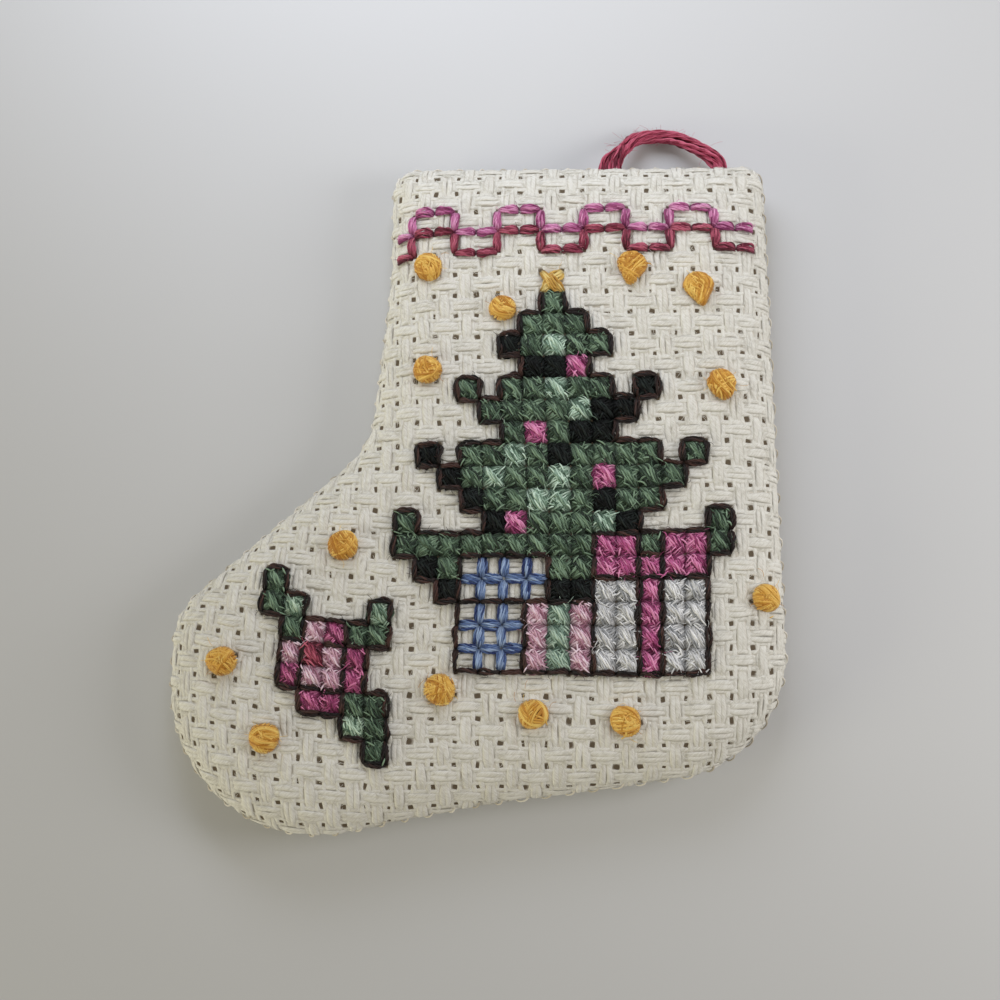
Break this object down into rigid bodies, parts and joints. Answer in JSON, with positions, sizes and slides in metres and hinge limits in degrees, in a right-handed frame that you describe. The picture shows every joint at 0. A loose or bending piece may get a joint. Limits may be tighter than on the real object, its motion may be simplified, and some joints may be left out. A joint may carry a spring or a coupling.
{
  "type": "hanging stocking ornament",
  "caption": "Padded cross-stitch stocking ornament: two cloths sewn round soft filling, embroidered front, thread loop at the top.",
  "frame": {"origin": "bottom centre of the bounding box, on the flat back that the ornament lies on", "axes": "+Z out of the embroidered front, +Y up the leg towards the hanging loop, +X from toe to heel"},
  "size_m": [0.0508, 0.0616, 0.0069],
  "materials": {
    "aida_cloth": "ivory evenweave cotton cloth, matt",
    "wadding": "white fibre filling",
    "sewing_thread": "cream cotton sewing thread",
    "crimson_loop": "crimson stranded cotton, soft sheen",
    "pink_border_thread": "orchid pink stranded cotton",
    "crimson_border_thread": "deep crimson stranded cotton",
    "gold_thread": "gold yellow stranded cotton",
    "green_thread": "mid green stranded cotton",
    "dark_green_thread": "very dark green stranded cotton",
    "light_green_thread": "pale green stranded cotton",
    "magenta_thread": "magenta stranded cotton",
    "pink_thread": "light pink stranded cotton",
    "pale_green_thread": "sage green stranded cotton",
    "silver_thread": "silver grey stranded cotton",
    "blue_thread": "blue stranded cotton",
    "brown_thread": "very dark brown stranded cotton",
    "rose_crimson_thread": "crimson stranded cotton"
  },
  "bodies": {
    "stocking": {"front_cloth": "aida_cloth", "back_cloth": "aida_cloth", "wadding": "wadding", "seam_thread": "sewing_thread", "loop_tails": "crimson_loop", "border_pink_line": "pink_border_thread", "border_crimson_line": "crimson_border_thread", "tree_star": "gold_thread", "gold_knots": "gold_thread", "tree_green_stitches": "green_thread", "tree_dark_stitches": "dark_green_thread", "tree_light_stitches": "light_green_thread", "tree_baubles": "magenta_thread", "striped_gift_pink": "pink_thread", "striped_gift_green": "pale_green_thread", "bow_gift_paper": "silver_thread", "bow_gift_ribbon": "magenta_thread", "gingham_gift_lines": "blue_thread", "tree_outline": "brown_thread", "gifts_outline": "brown_thread", "rose_outline": "brown_thread", "rose_leaves": "green_thread", "rose_light_leaves": "light_green_thread", "rose_pink_petals": "pink_thread", "rose_magenta_petals": "magenta_thread", "rose_crimson_heart": "rose_crimson_thread"},
    "loop": {"hanging_loop": "crimson_loop"}
  },
  "joints": [
    {"name": "loop_swing", "type": "hinge", "parent": "stocking", "child": "loop", "pos_m": [0.01686, 0.02703, 0.003], "axis": [0.9999, -0.017, 0], "range_deg": [0, 110]}
  ]
}
